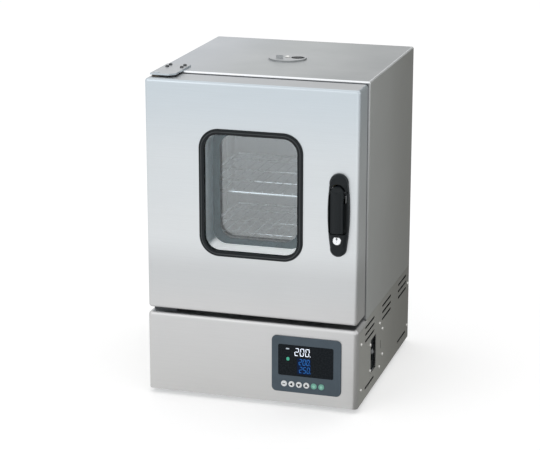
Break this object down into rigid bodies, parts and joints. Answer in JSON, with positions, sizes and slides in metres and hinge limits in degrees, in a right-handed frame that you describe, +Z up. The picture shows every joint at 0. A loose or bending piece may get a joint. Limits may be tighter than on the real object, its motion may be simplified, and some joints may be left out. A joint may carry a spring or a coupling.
{
  "type": "convection drying oven",
  "caption": "Bench drying oven: double-walled steel cabinet, windowed hinged door with pull latch, wire shelves, floor heater, exhaust damper and a control base with display and keys.",
  "frame": {"origin": "middle of the footprint, on the plane that the feet stand on", "axes": "+Z up, +X to the right seen from the front, +Y from the door to the back"},
  "size_m": [0.4036, 0.454, 0.6095],
  "materials": {
    "stainless": "brushed",
    "liner_steel": "satin",
    "galvanised": "dull zinc",
    "wire_steel": "electropolished",
    "glass_wool": "fibrous",
    "black_rubber": "matt",
    "silicone": "matt",
    "float_glass": "clear",
    "black_plastic": "fine texture",
    "bezel_plastic": "satin",
    "display_plastic": "gloss",
    "white_plastic": "satin",
    "green_plastic": "satin",
    "grey_plastic": "satin",
    "bright_screws": "bright",
    "dark_screws": "blackened",
    "brass": "plain",
    "circuit_board": "lacquered",
    "cooler": "plain"
  },
  "bodies": {
    "cabinet": {"outer_shell": "stainless", "front_frame": "stainless", "inner_chamber": "liner_steel", "chamber_insulation": "glass_wool", "body_floor": "galvanised", "rear_cover": "galvanised", "base_front_panel": "stainless", "base_left_panel": "stainless", "base_right_panel": "stainless", "base_rear_panel": "galvanised", "base_bottom_plate": "galvanised", "rubber_feet": "black_rubber", "control_bezel": "bezel_plastic", "display_window": "display_plastic", "control_board": "circuit_board", "circuit_breaker": "black_plastic", "breaker_bracket": "galvanised", "heater_relay": "cooler", "terminal_block": "grey_plastic", "cord_gland": "black_plastic", "panel_screws": "bright_screws", "heater_elements": "liner_steel", "heater_cover": "liner_steel", "temperature_probe": "wire_steel", "overheat_thermostat": "brass", "left_shelf_rack": "liner_steel", "right_shelf_rack": "liner_steel", "exhaust_pipe": "stainless", "damper_screw": "bright_screws", "upper_hinge_plate": "stainless", "lower_hinge_plate": "stainless", "hinge_pins": "stainless", "hinge_screws": "dark_screws", "strike_cup": "wire_steel"},
    "door": {"door_outer_panel": "stainless", "door_inner_panel": "liner_steel", "door_insulation": "glass_wool", "window_gasket": "black_rubber", "outer_glass": "float_glass", "inner_glass": "float_glass", "window_tunnel": "liner_steel", "inner_glass_frame": "liner_steel", "door_seal": "silicone", "hinge_bushes": "brass", "handle_base": "black_plastic", "lever_pin": "wire_steel", "catch_case": "black_plastic"},
    "handle_lever": {"handle_lever": "black_plastic"},
    "latch_bolt": {"latch_bolt": "wire_steel"},
    "key_cylinder": {"key_cylinder": "wire_steel"},
    "breaker_toggle": {"breaker_toggle": "grey_plastic"},
    "exhaust_damper": {"exhaust_damper": "stainless"},
    "upper_shelf": {"upper_shelf": "wire_steel"},
    "lower_shelf": {"lower_shelf": "wire_steel"},
    "set_button": {"set_button": "white_plastic"},
    "shift_button": {"shift_button": "white_plastic"},
    "down_button": {"down_button": "white_plastic"},
    "up_button": {"up_button": "white_plastic"},
    "timer_button": {"timer_button": "green_plastic"},
    "run_button": {"run_button": "green_plastic"}
  },
  "joints": [
    {"name": "door_swing", "type": "hinge", "parent": "cabinet", "child": "door", "pos_m": [-0.185, -0.179, 0.383], "axis": [0, 0, -1], "range_deg": [0, 130]},
    {"name": "handle_pull", "type": "hinge", "parent": "door", "child": "handle_lever", "pos_m": [0.163, -0.214, 0.417], "axis": [-1, 0, 0], "range_deg": [0, 20], "stiffness_Nm_per_rad": 0.8, "springref_deg": -8.59},
    {"name": "latch_draw", "type": "slide", "parent": "door", "child": "latch_bolt", "axis": [0, -1, 0], "range_m": [0, 0.00966]},
    {"name": "key_turn", "type": "hinge", "parent": "door", "child": "key_cylinder", "pos_m": [0.163, -0.207, 0.329], "axis": [0, 1, 0], "range_deg": [0, 90]},
    {"name": "breaker_switch", "type": "hinge", "parent": "cabinet", "child": "breaker_toggle", "pos_m": [0.1888, -0.079, 0.075], "axis": [0, 1, 0], "range_deg": [0, 36]},
    {"name": "damper_turn", "type": "hinge", "parent": "cabinet", "child": "exhaust_damper", "pos_m": [0, 0.028, 0.601], "axis": [0, 0, 1], "range_deg": [0, 180]},
    {"name": "upper_shelf_slide", "type": "slide", "parent": "cabinet", "child": "upper_shelf", "axis": [0, -1, 0], "range_m": [0, 0.012]},
    {"name": "lower_shelf_slide", "type": "slide", "parent": "cabinet", "child": "lower_shelf", "axis": [0, -1, 0], "range_m": [0, 0.012]},
    {"name": "set_button_press", "type": "slide", "parent": "cabinet", "child": "set_button", "axis": [0, 1, 0], "range_m": [0, 0.0008], "stiffness_N_per_m": 400, "springref_m": -0.0005},
    {"name": "shift_button_press", "type": "slide", "parent": "cabinet", "child": "shift_button", "axis": [0, 1, 0], "range_m": [0, 0.0008], "stiffness_N_per_m": 400, "springref_m": -0.0005},
    {"name": "down_button_press", "type": "slide", "parent": "cabinet", "child": "down_button", "axis": [0, 1, 0], "range_m": [0, 0.0008], "stiffness_N_per_m": 400, "springref_m": -0.0005},
    {"name": "up_button_press", "type": "slide", "parent": "cabinet", "child": "up_button", "axis": [0, 1, 0], "range_m": [0, 0.0008], "stiffness_N_per_m": 400, "springref_m": -0.0005},
    {"name": "timer_button_press", "type": "slide", "parent": "cabinet", "child": "timer_button", "axis": [0, 1, 0], "range_m": [0, 0.0008], "stiffness_N_per_m": 400, "springref_m": -0.0005},
    {"name": "run_button_press", "type": "slide", "parent": "cabinet", "child": "run_button", "axis": [0, 1, 0], "range_m": [0, 0.0008], "stiffness_N_per_m": 400, "springref_m": -0.0005}
  ],
  "couplings": [
    {"joint": "latch_draw", "follows": "handle_pull", "m_per_rad": 0.027373}
  ]
}
